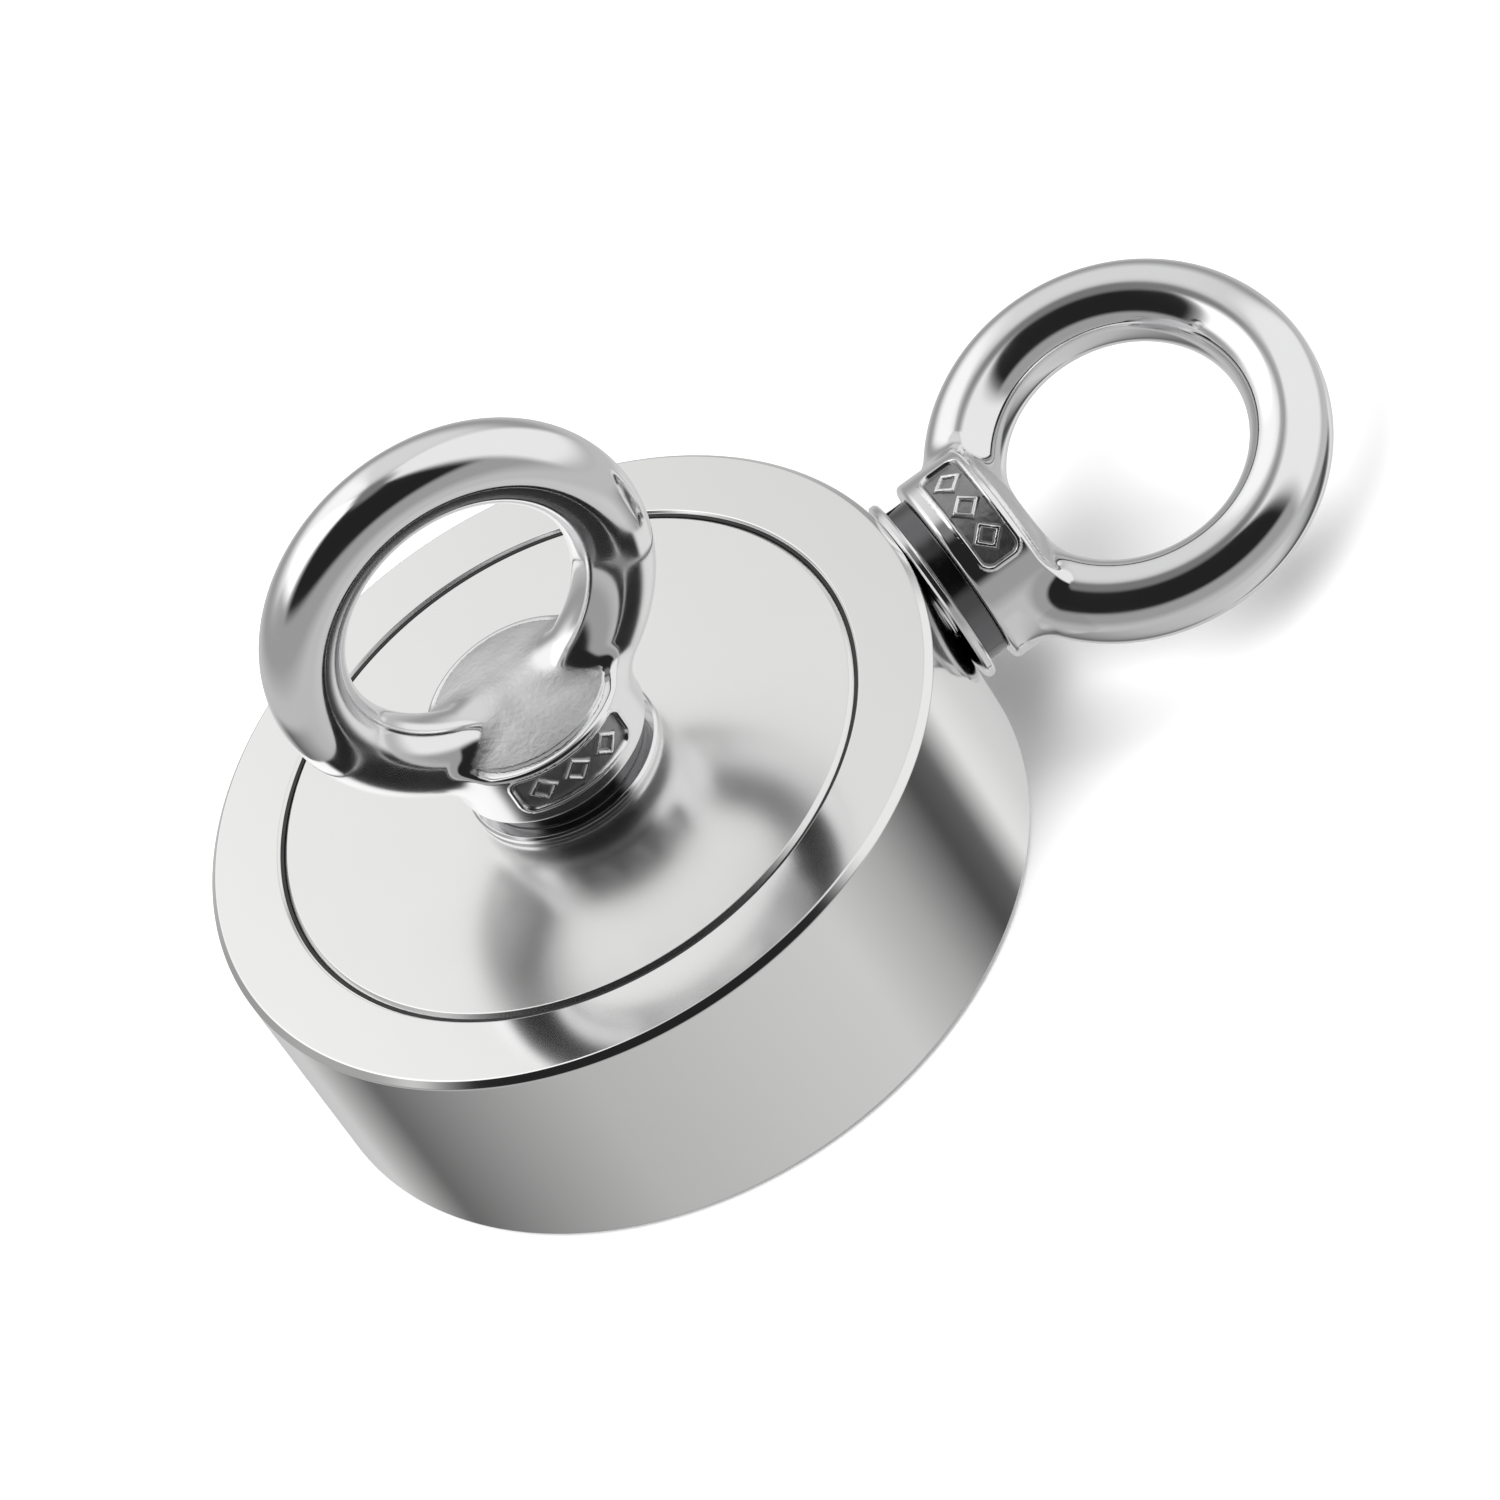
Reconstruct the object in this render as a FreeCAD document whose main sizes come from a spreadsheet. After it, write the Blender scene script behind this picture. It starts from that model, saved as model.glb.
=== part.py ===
import FreeCAD, Part
import Sketcher
import math
import os

# A double-sided fishing magnet with an eyebolt in its upper face and one in its side.
# The frame: origin at the centre of the lower face, +Z up along the magnet's axis,
# +X out along the side bolt. Millimetres and degrees.

doc = FreeCAD.newDocument("fishing_magnet")

# ---------------------------------------------------------------- driving dimensions
DIMENSIONS = {
    # magnet
    "magnet_radius": 47.0,
    "magnet_height": 31.0,
    "rim_chamfer": 0.9,
    "upper_bore_radius": 37.6,
    "lower_bore_radius": 40.8,
    "plate_thickness": 1.5,
    "magnet_thickness": 3.5,
    "upper_plate_radius": 37.2,
    "lower_plate_radius": 36.3,
    "magnet_outer_radius": 33.5,
    "magnet_inner_radius": 10.4,
    "epoxy_sink": 0.4,
    "hub_radius": 8.9,
    # M12 thread, drawn as plain cylinders
    "shank_radius": 6.0,
    "thread_hole_radius": 6.05,
    "tapping_radius": 5.1,
    "shank_length": 22.0,
    "shank_chamfer": 1.0,
    "countersink_depth": 0.7,
    "hole_spare": 0.4,
    # eyebolt above its seat
    "collar_radius": 12.5,
    "collar_height": 9.0,
    "collar_edge": 0.8,
    "crown_radius": 4.0,
    "crown_height": 1.7,
    "eye_centre_height": 25.4,
    "eye_radius": 20.0,
    "eye_bar_radius": 5.0,
    # washers
    "spring_washer_inner": 6.15,
    "spring_washer_outer": 10.75,
    "spring_washer_thickness": 2.9,
    "spring_washer_gap": 1.3,
    "spring_washer_slant": 0.9,
    "flat_washer_inner": 6.25,
    "flat_washer_outer": 12.4,
    "flat_washer_thickness": 1.2,
    "washer_edge": 0.2,
    # side bolt
    "side_bolt_height": 18.5,
    "face_eye_turn": 1.8,
    "side_eye_tilt": 18.0,
    "side_split_turn": 125.0,
}

sheet = doc.addObject("Spreadsheet::Sheet", "Dimensions")
for row, (alias, value) in enumerate(DIMENSIONS.items(), start=1):
    sheet.set(f"A{row}", alias)
    sheet.set(f"B{row}", str(value))
    sheet.setAlias(f"B{row}", alias)
doc.recompute()

# Lengths that follow from the driving ones, written as expressions of the sheet's cells.
CORE_BOTTOM = "plate_thickness + magnet_thickness"
CORE_THICKNESS = f"magnet_height - 2 * ({CORE_BOTTOM})"
STACK = "spring_washer_thickness + flat_washer_thickness"
THREAD_DEPTH = f"shank_length - ({STACK}) + hole_spare"


def bound(expression):
    """The expression with each alias written as a cell of the sheet."""
    words = []
    word = ""
    for letter in expression + " ":
        if letter.isalnum() or letter == "_":
            word += letter
            continue
        words.append(f"Dimensions.{word}" if word in DIMENSIONS else word)
        words.append(letter)
        word = ""
    return "".join(words).strip()


def size(expression):
    """The expression's value now, in millimetres or degrees."""
    return float(doc.getObject("Dimensions").evalExpression(bound(expression)))


def plane(body, role):
    """One of the body's own origin planes."""
    return next(f for f in body.Origin.OriginFeatures if f.Role == role)


def new_body(label):
    body = doc.addObject("PartDesign::Body", label)
    body.Label = label
    return body


def new_sketch(body, name, role="XZ_Plane", offset=None):
    """A sketch on an origin plane, raised from it by the expression offset."""
    sketch = body.newObject("Sketcher::SketchObject", name)
    sketch.AttachmentSupport = [(plane(body, role), "")]
    sketch.MapMode = "FlatFace"
    if offset:
        sketch.setExpression("AttachmentOffset.Base.z", bound(offset))
    return sketch


def pin_point(sketch, edge, vertex, across, up):
    """Hold a sketch vertex at two expressions from the sketch's origin."""
    for kind, axis, expression in (("DistanceX", -2, across), ("DistanceY", -1, up)):
        if expression == "0":
            sketch.addConstraint(Sketcher.Constraint("PointOnObject", edge, vertex, axis))
            continue
        value = size(expression)
        number = sketch.addConstraint(Sketcher.Constraint(kind, -1, 1, edge, vertex, value))
        sketch.setExpression(f"Constraints[{number}]", bound(expression))


def outline(sketch, points):
    """A closed outline whose corners are pairs of expressions."""
    corners = [FreeCAD.Vector(size(across), size(up), 0) for across, up in points]
    count = len(corners)
    for i in range(count):
        sketch.addGeometry(Part.LineSegment(corners[i], corners[(i + 1) % count]))
    for i in range(count):
        sketch.addConstraint(Sketcher.Constraint("Coincident", i, 2, (i + 1) % count, 1))
    for i, (across, up) in enumerate(points):
        pin_point(sketch, i, 1, across, up)


def circle(sketch, across, up, radius):
    centre = FreeCAD.Vector(size(across), size(up), 0)
    normal = FreeCAD.Vector(0, 0, 1)
    edge = sketch.addGeometry(Part.Circle(centre, normal, size(radius)))
    number = sketch.addConstraint(Sketcher.Constraint("Radius", edge, size(radius)))
    sketch.setExpression(f"Constraints[{number}]", bound(radius))
    pin_point(sketch, edge, 3, across, up)


def revolve(body, sketch, name):
    """Turn a sketch once about its own vertical axis and add it to the body."""
    turned = body.newObject("PartDesign::Revolution", name)
    turned.Profile = sketch
    turned.ReferenceAxis = (sketch, ["V_Axis"])
    turned.Angle = 360.0
    doc.recompute()
    return turned


def turned_part(label, points):
    """A body turned from one closed section, given as radius and height."""
    body = new_body(label)
    sketch = new_sketch(body, f"{label}_section")
    outline(sketch, points)
    revolve(body, sketch, f"{label}_turning")
    return body


def pocket(body, sketch, name):
    """Cut a sketch through the body on the side that its plane faces +X or +Y."""
    before = body.Shape.Volume
    cut = body.newObject("PartDesign::Pocket", name)
    cut.Profile = sketch
    cut.Type = "ThroughAll"
    for reverse in (True, False):
        cut.Reversed = reverse
        doc.recompute()
        toward = (before - body.Shape.Volume) > 1.0 and cut_is_forward(cut, sketch)
        if toward:
            return cut
    raise RuntimeError(f"{name} cuts nothing")


def cut_is_forward(cut, sketch):
    """True when the cut lies on the far side of the sketch from the origin."""
    removed = cut.BaseFeature.Shape.cut(cut.Shape)
    normal = sketch.Placement.Rotation.multVec(FreeCAD.Vector(0, 0, 1))
    outward = FreeCAD.Vector(abs(normal.x), abs(normal.y), abs(normal.z))
    return removed.BoundBox.Center.dot(outward) > 0


# ---------------------------------------------------------------- magnet body
def make_outer_ring():
    """The steel wall: thin gap at the upper face, wide potting pocket at the lower one."""
    body = turned_part("outer_ring", [
        ("lower_bore_radius", "0"),
        ("magnet_radius - rim_chamfer", "0"),
        ("magnet_radius", "rim_chamfer"),
        ("magnet_radius", "magnet_height - rim_chamfer"),
        ("magnet_radius - rim_chamfer", "magnet_height"),
        ("upper_bore_radius", "magnet_height"),
        ("upper_bore_radius", CORE_BOTTOM),
        ("lower_bore_radius", CORE_BOTTOM),
    ])
    side_hole(body, "0")
    return body


def side_hole(body, start):
    """The tapped hole along +X for the side bolt, from the distance start outwards."""
    hole = new_sketch(body, f"{body.Label}_hole_circle", "YZ_Plane", start)
    circle(hole, "0", "side_bolt_height", "thread_hole_radius")
    pocket(body, hole, f"{body.Label}_hole")


def make_core_disc():
    body = turned_part("core_disc", [
        ("hub_radius", CORE_BOTTOM),
        ("upper_bore_radius", CORE_BOTTOM),
        ("upper_bore_radius", f"{CORE_BOTTOM} + {CORE_THICKNESS}"),
        ("hub_radius", f"{CORE_BOTTOM} + {CORE_THICKNESS}"),
    ])
    side_hole(body, f"magnet_radius - ({THREAD_DEPTH})")
    return body


def make_threaded_hub():
    """Tapped right through: the face bolt fills the upper part, the lower part is open."""
    step = f"magnet_height - ({THREAD_DEPTH})"
    return turned_part("threaded_hub", [
        ("tapping_radius + countersink_depth", "0"),
        ("hub_radius", "0"),
        ("hub_radius", "magnet_height"),
        ("thread_hole_radius + countersink_depth", "magnet_height"),
        ("thread_hole_radius", "magnet_height - countersink_depth"),
        ("thread_hole_radius", step),
        ("tapping_radius", step),
        ("tapping_radius", "countersink_depth"),
    ])


def flat_ring(label, inner, outer, bottom, top):
    return turned_part(label, [(inner, bottom), (outer, bottom), (outer, top), (inner, top)])


def make_magnets_and_plates():
    core_top = f"magnet_height - ({CORE_BOTTOM})"
    upper_plate_bottom = "magnet_height - plate_thickness"
    flat_ring("lower_magnet", "magnet_inner_radius", "magnet_outer_radius",
              "plate_thickness", CORE_BOTTOM)
    flat_ring("upper_magnet", "magnet_inner_radius", "magnet_outer_radius",
              core_top, upper_plate_bottom)
    flat_ring("lower_pole_plate", "magnet_inner_radius", "lower_plate_radius",
              "0", "plate_thickness")
    flat_ring("upper_pole_plate", "magnet_inner_radius", "upper_plate_radius",
              upper_plate_bottom, "magnet_height")


def make_epoxy_rings():
    """Potting that fills round each magnet and shows as a sunk ring at its face."""
    core_top = f"magnet_height - ({CORE_BOTTOM})"
    upper_plate_bottom = "magnet_height - plate_thickness"
    turned_part("lower_outer_epoxy", [
        ("lower_plate_radius", "epoxy_sink"),
        ("lower_bore_radius", "epoxy_sink"),
        ("lower_bore_radius", CORE_BOTTOM),
        ("magnet_outer_radius", CORE_BOTTOM),
        ("magnet_outer_radius", "plate_thickness"),
        ("lower_plate_radius", "plate_thickness"),
    ])
    turned_part("upper_outer_epoxy", [
        ("magnet_outer_radius", core_top),
        ("upper_bore_radius", core_top),
        ("upper_bore_radius", "magnet_height - epoxy_sink"),
        ("upper_plate_radius", "magnet_height - epoxy_sink"),
        ("upper_plate_radius", upper_plate_bottom),
        ("magnet_outer_radius", upper_plate_bottom),
    ])
    flat_ring("lower_inner_epoxy", "hub_radius", "magnet_inner_radius",
              "epoxy_sink", CORE_BOTTOM)
    flat_ring("upper_inner_epoxy", "hub_radius", "magnet_inner_radius",
              core_top, "magnet_height - epoxy_sink")


# ---------------------------------------------------------------- eyebolts and washers
def make_eyebolt(label):
    """A lifting eyebolt, made with the end of its shank at the origin and its eye along +Z.

    The eye lies in the local XZ plane.
    """
    body = turned_part(label, [
        ("0", "0"),
        ("shank_radius - shank_chamfer", "0"),
        ("shank_radius", "shank_chamfer"),
        ("shank_radius", "shank_length"),
        ("collar_radius - collar_edge", "shank_length"),
        ("collar_radius", "shank_length + collar_edge"),
        ("collar_radius", "shank_length + collar_height - collar_edge"),
        ("collar_radius - collar_edge", "shank_length + collar_height"),
        ("crown_radius", "shank_length + collar_height + crown_height"),
        ("0", "shank_length + collar_height + crown_height"),
    ])
    bar = new_sketch(body, f"{label}_bar_circle", "XY_Plane", "shank_length + eye_centre_height")
    circle(bar, "eye_radius", "0", "eye_bar_radius")
    revolve(body, bar, f"{label}_eye")
    return body


def make_spring_washer(label):
    """A split washer, flattened as it is under a tightened bolt, with a slanted gap."""
    body = flat_ring(label, "spring_washer_inner", "spring_washer_outer",
                     "0", "spring_washer_thickness")
    split = new_sketch(body, f"{label}_split_section")
    half = "spring_washer_gap / 2"
    lean = "spring_washer_slant"
    outline(split, [
        (f"-({half}) - {lean}", "0"),
        (f"{half} - {lean}", "0"),
        (f"{half} + {lean}", "spring_washer_thickness"),
        (f"{lean} - {half}", "spring_washer_thickness"),
    ])
    pocket(body, split, f"{label}_split")
    return body


def make_flat_washer(label):
    outer = "flat_washer_outer"
    return turned_part(label, [
        ("flat_washer_inner", "0"),
        (f"{outer} - washer_edge", "0"),
        (outer, "washer_edge"),
        (outer, "flat_washer_thickness - washer_edge"),
        (f"{outer} - washer_edge", "flat_washer_thickness"),
        ("flat_washer_inner", "flat_washer_thickness"),
    ])


def place(body, axis, distance, rotation):
    """Turn a body, then set it at an expression's distance along the X or Z axis."""
    body.Placement = FreeCAD.Placement(FreeCAD.Vector(0, 0, 0), rotation)
    body.setExpression(f"Placement.Base.{axis}", bound(distance))


def make_face_set():
    """The bolt in the upper face, standing along +Z."""
    turn = FreeCAD.Rotation(FreeCAD.Vector(0, 0, 1), size("face_eye_turn"))
    place(make_flat_washer("face_flat_washer"), "z", "magnet_height", turn)
    place(make_spring_washer("face_spring_washer"), "z",
          "magnet_height + flat_washer_thickness", turn)
    place(make_eyebolt("face_eyebolt"), "z", f"magnet_height + {STACK} - shank_length", turn)


def make_side_set():
    """The bolt in the side wall, lying along +X with its eye tilted from the level."""
    tilt = math.radians(size("side_eye_tilt"))
    eye_across = FreeCAD.Vector(0, -math.cos(tilt), -math.sin(tilt))
    outward = FreeCAD.Vector(1, 0, 0)
    turn = FreeCAD.Rotation(eye_across, outward.cross(eye_across), outward, "ZXY")
    split_turn = FreeCAD.Rotation(FreeCAD.Vector(0, 0, 1), size("side_split_turn"))
    washer = make_flat_washer("side_flat_washer")
    spring = make_spring_washer("side_spring_washer")
    bolt = make_eyebolt("side_eyebolt")
    place(washer, "x", "magnet_radius", turn)
    place(spring, "x", "magnet_radius + flat_washer_thickness", turn * split_turn)
    place(bolt, "x", f"magnet_radius + {STACK} - shank_length", turn)
    for body in (washer, spring, bolt):
        body.setExpression("Placement.Base.z", bound("side_bolt_height"))


make_outer_ring()
make_core_disc()
make_threaded_hub()
make_magnets_and_plates()
make_epoxy_rings()
make_face_set()
make_side_set()
doc.recompute()

# ---------------------------------------------------------------- checks and files
parts = [item for item in doc.Objects if item.TypeId == "PartDesign::Body"]
for item in doc.Objects:
    if "Invalid" in item.State or "Error" in item.State:
        raise RuntimeError(f"{item.Label} failed: {item.State}")
for part in parts:
    if part.Shape.isNull() or not part.Shape.isValid():
        raise RuntimeError(f"{part.Label} has no valid shape")
    if len(part.Shape.Solids) != 1:
        raise RuntimeError(f"{part.Label} is {len(part.Shape.Solids)} solids")

os.makedirs("parts", exist_ok=True)
for part in parts:
    part.Shape.exportStep(f"parts/{part.Label}.step")
    box = part.Shape.BoundBox
    print(f"{part.Label:20s} {part.Shape.Volume:10.1f} mm3  "
          f"x {box.XMin:.2f}..{box.XMax:.2f}  y {box.YMin:.2f}..{box.YMax:.2f}  "
          f"z {box.ZMin:.2f}..{box.ZMax:.2f}")
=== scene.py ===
import math
import bmesh
import bpy
import numpy as np
from mathutils import Matrix, Vector


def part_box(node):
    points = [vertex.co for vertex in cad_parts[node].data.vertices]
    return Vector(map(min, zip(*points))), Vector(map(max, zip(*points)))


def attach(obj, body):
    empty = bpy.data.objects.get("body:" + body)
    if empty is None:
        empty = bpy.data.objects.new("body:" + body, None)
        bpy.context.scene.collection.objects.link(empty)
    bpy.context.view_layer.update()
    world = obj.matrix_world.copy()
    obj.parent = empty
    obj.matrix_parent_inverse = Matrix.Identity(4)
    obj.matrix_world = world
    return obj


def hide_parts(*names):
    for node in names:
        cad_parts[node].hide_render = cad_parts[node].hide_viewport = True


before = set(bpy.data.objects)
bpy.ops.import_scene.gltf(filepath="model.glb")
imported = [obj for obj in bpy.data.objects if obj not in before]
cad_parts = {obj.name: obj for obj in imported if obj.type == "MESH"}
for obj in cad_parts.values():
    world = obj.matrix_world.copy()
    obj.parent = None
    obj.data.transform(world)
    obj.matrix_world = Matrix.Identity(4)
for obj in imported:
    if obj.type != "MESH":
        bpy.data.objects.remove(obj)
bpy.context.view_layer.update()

# A double-sided fishing magnet with two screwed-in eyebolts. Lengths here are in
# millimetres and become metres only where a mesh, a light or the camera is made.
MM = 0.001


# ---------------------------------------------------------------- sizes from the frame
def low(node, axis):
    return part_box(node)[0][axis] / MM


def high(node, axis):
    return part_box(node)[1][axis] / MM


X, Y, Z = 0, 1, 2
HEIGHT = high("outer_ring", Z)
RADIUS = high("outer_ring", Y)
CORE_BOTTOM = low("core_disc", Z)
UPPER_BORE = high("upper_outer_epoxy", X)
LOWER_BORE = high("lower_outer_epoxy", X)
HUB_RADIUS = high("threaded_hub", X)
WALL = low("side_flat_washer", X)
SIDE_HEIGHT = (low("side_flat_washer", Z) + high("side_flat_washer", Z)) / 2
FACE_SEAT = high("face_spring_washer", Z)
SIDE_SEAT = high("side_spring_washer", X)
STEP_HEIGHT = low("face_eyebolt", Z) - 0.4
FACE_TURN = math.radians(1.8)
SIDE_TILT = math.radians(18.0)
SIDE_SPLIT = math.radians(125.0)

# Edges of the magnet's body
RIM_CHAMFER = 0.8
LIP_CHAMFER = 0.3
PLATE_CHAMFER = 0.6
HUB_CHAMFER = 0.15

# M12 lifting eyebolt, measured from its seat
COLLAR_RADIUS = 12.5
COLLAR_HEIGHT = 9.0
COLLAR_EDGE = 0.7
CROWN_RADIUS = 11.0
CROWN_HEIGHT = 1.8
CROWN_STEP = 0.55
CROWN_DROP = 0.45
FILLET_REACH = 2.2
PANEL_HEIGHT = 4.95
PANEL_DEPTH = 0.5
EYE_HEIGHT = 25.4
EYE_RADIUS = 20.0
BAR_RADIUS = 5.0
SHANK_LENGTH = 22.0
THREAD_CREST = 6.0
THREAD_ROOT = 5.1
THREAD_PITCH = 1.75
NECK = 0.8
HOLE_RADIUS = 6.05
COUNTERSINK = 0.7
FLAT_WASHER_BORE = 6.25
SPRING_WASHER_BORE = 6.15
SPRING_WASHER_THICK = 2.9

# Points round a thread and round a full turn of the larger pieces
THREAD_COLUMNS = 96
TURN_COLUMNS = 256


# ---------------------------------------------------------------- mesh building
def to_object(name, points, faces, corner_normals, transform=None):
    """A mesh object from points in mm, with the shading normal of every face corner."""
    points = np.asarray(points, float)
    corner_normals = np.asarray(corner_normals, float)
    faces, corner_normals = facing_out(points, faces, corner_normals)
    if transform is not None:
        turn = np.array(transform.to_3x3())
        points = points @ turn.T + np.array(transform.translation)
        corner_normals = corner_normals @ turn.T
    mesh = bpy.data.meshes.new(name)
    mesh.from_pydata((points * MM).tolist(), [], [list(face) for face in faces])
    mesh.polygons.foreach_set("use_smooth", [True] * len(mesh.polygons))
    mesh.normals_split_custom_set(corner_normals.tolist())
    mesh.update()
    item = bpy.data.objects.new(name, mesh)
    bpy.context.scene.collection.objects.link(item)
    return item


def facing_out(points, faces, corner_normals):
    """Turn round each face that looks against its own shading normals."""
    kept, normals, start = [], [], 0
    for face in faces:
        count = len(face)
        own = corner_normals[start:start + count]
        start += count
        corners = points[list(face)]
        after = np.roll(corners, -1, axis=0)
        across = np.cross(corners - corners[0], after - corners[0]).sum(axis=0)
        if across @ own.sum(axis=0) < 0:
            kept.append(tuple(face)[::-1])
            normals.append(own[::-1])
        else:
            kept.append(tuple(face))
            normals.append(own)
    return kept, np.concatenate(normals)


def rounded(corners, radii, steps=5):
    """Points and outward normals round a closed anticlockwise outline with arcs at its corners."""
    points, normals = [], []
    count = len(corners)
    for i in range(count):
        before, here, after = (Vector(corners[(i + k) % count]) for k in (-1, 0, 1))
        into, out = (here - before).normalized(), (after - here).normalized()
        normal_in, normal_out = Vector((into.y, -into.x)), Vector((out.y, -out.x))
        turn = math.atan2(into.x * out.y - into.y * out.x, into.dot(out))
        radius = radii[i]
        back = radius * math.tan(abs(turn) / 2)
        side = 1 if turn > 0 else -1
        centre = here - into * back - normal_in * radius * side
        for step in range(steps + 1):
            angle = turn * step / steps
            c, s = math.cos(angle), math.sin(angle)
            normal = Vector((normal_in.x * c - normal_in.y * s, normal_in.x * s + normal_in.y * c))
            points.append(tuple(centre + normal * radius * side))
            normals.append(tuple(normal))
    return np.array(points), np.array(normals)


def grid_faces(rows, columns, close_rows, close_columns):
    """Quads over a grid of points numbered row by row."""
    faces = []
    for i in range(rows if close_rows else rows - 1):
        for j in range(columns if close_columns else columns - 1):
            k, m = (i + 1) % rows, (j + 1) % columns
            faces.append((i * columns + j, i * columns + m, k * columns + m, k * columns + j))
    return faces


def lathe(outline, normals, segments=TURN_COLUMNS):
    """A closed outline of radius and height turned once about Z."""
    angle = np.arange(segments) * 2 * math.pi / segments
    c, s = np.cos(angle)[:, None], np.sin(angle)[:, None]
    turned = []
    for pairs in (outline, normals):
        out, up = pairs[:, 0][None], pairs[:, 1][None]
        turned.append(np.stack([c * out, s * out, c * 0 + up], -1).reshape(-1, 3))
    faces = grid_faces(segments, len(outline), True, True)
    points, shading = turned
    return points, faces, shading[np.array(faces).ravel()]


def turned_ring(name, inner, outer, bottom, top, cut, transform=None):
    """A flat ring with chamfered edges, each a little rounded."""
    corners = [(inner, bottom + cut), (inner + cut, bottom),
               (outer - cut, bottom), (outer, bottom + cut),
               (outer, top - cut), (outer - cut, top),
               (inner + cut, top), (inner, top - cut)]
    outline, normals = rounded(corners, [cut * 0.4] * 8)
    return to_object(name, *lathe(outline, normals), transform)


# ---------------------------------------------------------------- solids from a field
def smooth_least(a, b, reach):
    """The smaller of two distances, blended into a fillet where they meet."""
    near = np.clip(0.5 + 0.5 * (b - a) / reach, 0, 1)
    return b * (1 - near) + a * near - reach * near * (1 - near)


def step_down(value, start, end):
    """1 below start, 0 above end, smooth between."""
    part = np.clip((value - start) / (end - start), 0, 1)
    return 1 - part * part * (3 - 2 * part)


def field_slope(field, points, reach=0.01):
    slope = np.empty_like(points)
    for axis in range(3):
        shift = np.zeros(3)
        shift[axis] = reach
        ahead = field(*(points + shift).T)
        behind = field(*(points - shift).T)
        slope[:, axis] = (ahead - behind) / (2 * reach)
    return slope


def settle(field, points, rounds):
    """Move points along the field's slope until they lie on its surface."""
    for _ in range(rounds):
        slope = field_slope(field, points)
        value = field(*points.T)
        step = value / np.maximum((slope ** 2).sum(axis=1), 1e-6)
        points = points - np.clip(step, -0.3, 0.3)[:, None] * slope
    return points


def net_surface(field, xs, ys, zs):
    """Points, quads and normals of the surface where the field is zero."""
    values = field(*np.meshgrid(xs, ys, zs, indexing="ij"))
    inside = values < 0
    shape = tuple(n - 1 for n in inside.shape)
    held = np.zeros(shape, int)
    for i in (0, 1):
        for j in (0, 1):
            for k in (0, 1):
                held += inside[i:i + shape[0], j:j + shape[1], k:k + shape[2]]
    active = (held > 0) & (held < 8)
    number = np.full(shape, -1)
    number[active] = np.arange(active.sum())
    cell = np.argwhere(active)
    middles = [(axis[1:] + axis[:-1]) / 2 for axis in (xs, ys, zs)]
    points = np.stack([middles[a][cell[:, a]] for a in range(3)], axis=1)
    quads = []
    for axis in range(3):
        one, two = [a for a in range(3) if a != axis]
        ahead = np.take(inside, range(1, inside.shape[axis]), axis)
        behind = np.take(inside, range(0, inside.shape[axis] - 1), axis)
        edges = np.argwhere(ahead != behind)
        corners = []
        for back_one, back_two in ((1, 1), (0, 1), (0, 0), (1, 0)):
            at = edges.copy()
            at[:, one] -= back_one
            at[:, two] -= back_two
            corners.append(number[tuple(at.T)])
        quads.append(np.stack(corners, axis=1))
    quads = np.concatenate(quads)
    points = relaxed(field, settle(field, points, 4), quads)
    slope = field_slope(field, points)
    normals = slope / np.linalg.norm(slope, axis=1)[:, None]
    return points, quads, normals


def relaxed(field, points, quads, rounds=4):
    """Even out a quad mesh and bring it back to its surface."""
    for _ in range(rounds):
        total = np.zeros_like(points)
        count = np.zeros(len(points))
        for a in range(4):
            here, after = quads[:, a], quads[:, (a + 1) % 4]
            for target, source in ((here, after), (after, here)):
                np.add.at(total, target, points[source])
                np.add.at(count, target, 1)
        points = points + 0.6 * (total / count[:, None] - points)
        points = settle(field, points, 3)
    return points


def graded(stops):
    """Grid lines between stops, each given as the place where a spacing starts to hold."""
    lines = [stops[0][0]]
    for (start, spacing), (end, _) in zip(stops, stops[1:]):
        steps = max(1, round((end - start) / spacing))
        lines.extend(start + (end - start) * (i + 1) / steps for i in range(steps))
    return np.array(lines)


# ---------------------------------------------------------------- the magnet's body
def make_outer_ring():
    """The steel wall with its chamfered rims and its side hole."""
    rim, lip = RIM_CHAMFER, LIP_CHAMFER
    corners = [(LOWER_BORE, lip), (LOWER_BORE + lip, 0), (RADIUS - rim, 0), (RADIUS, rim),
               (RADIUS, HEIGHT - rim), (RADIUS - rim, HEIGHT), (UPPER_BORE + lip, HEIGHT),
               (UPPER_BORE, HEIGHT - lip), (UPPER_BORE, CORE_BOTTOM), (LOWER_BORE, CORE_BOTTOM)]
    radii = [0.2] * 2 + [0.35] * 4 + [0.2] * 2 + [0.1] * 2
    outline, normals = rounded(corners, radii)
    ring = to_object("outer_ring_steel", *lathe(outline, normals, 2 * TURN_COLUMNS))
    bore_out(ring, HOLE_RADIUS, UPPER_BORE / 2)
    shade_ring(ring, outline, normals)
    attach(ring, "magnet")
    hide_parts("outer_ring")
    return ring


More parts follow.
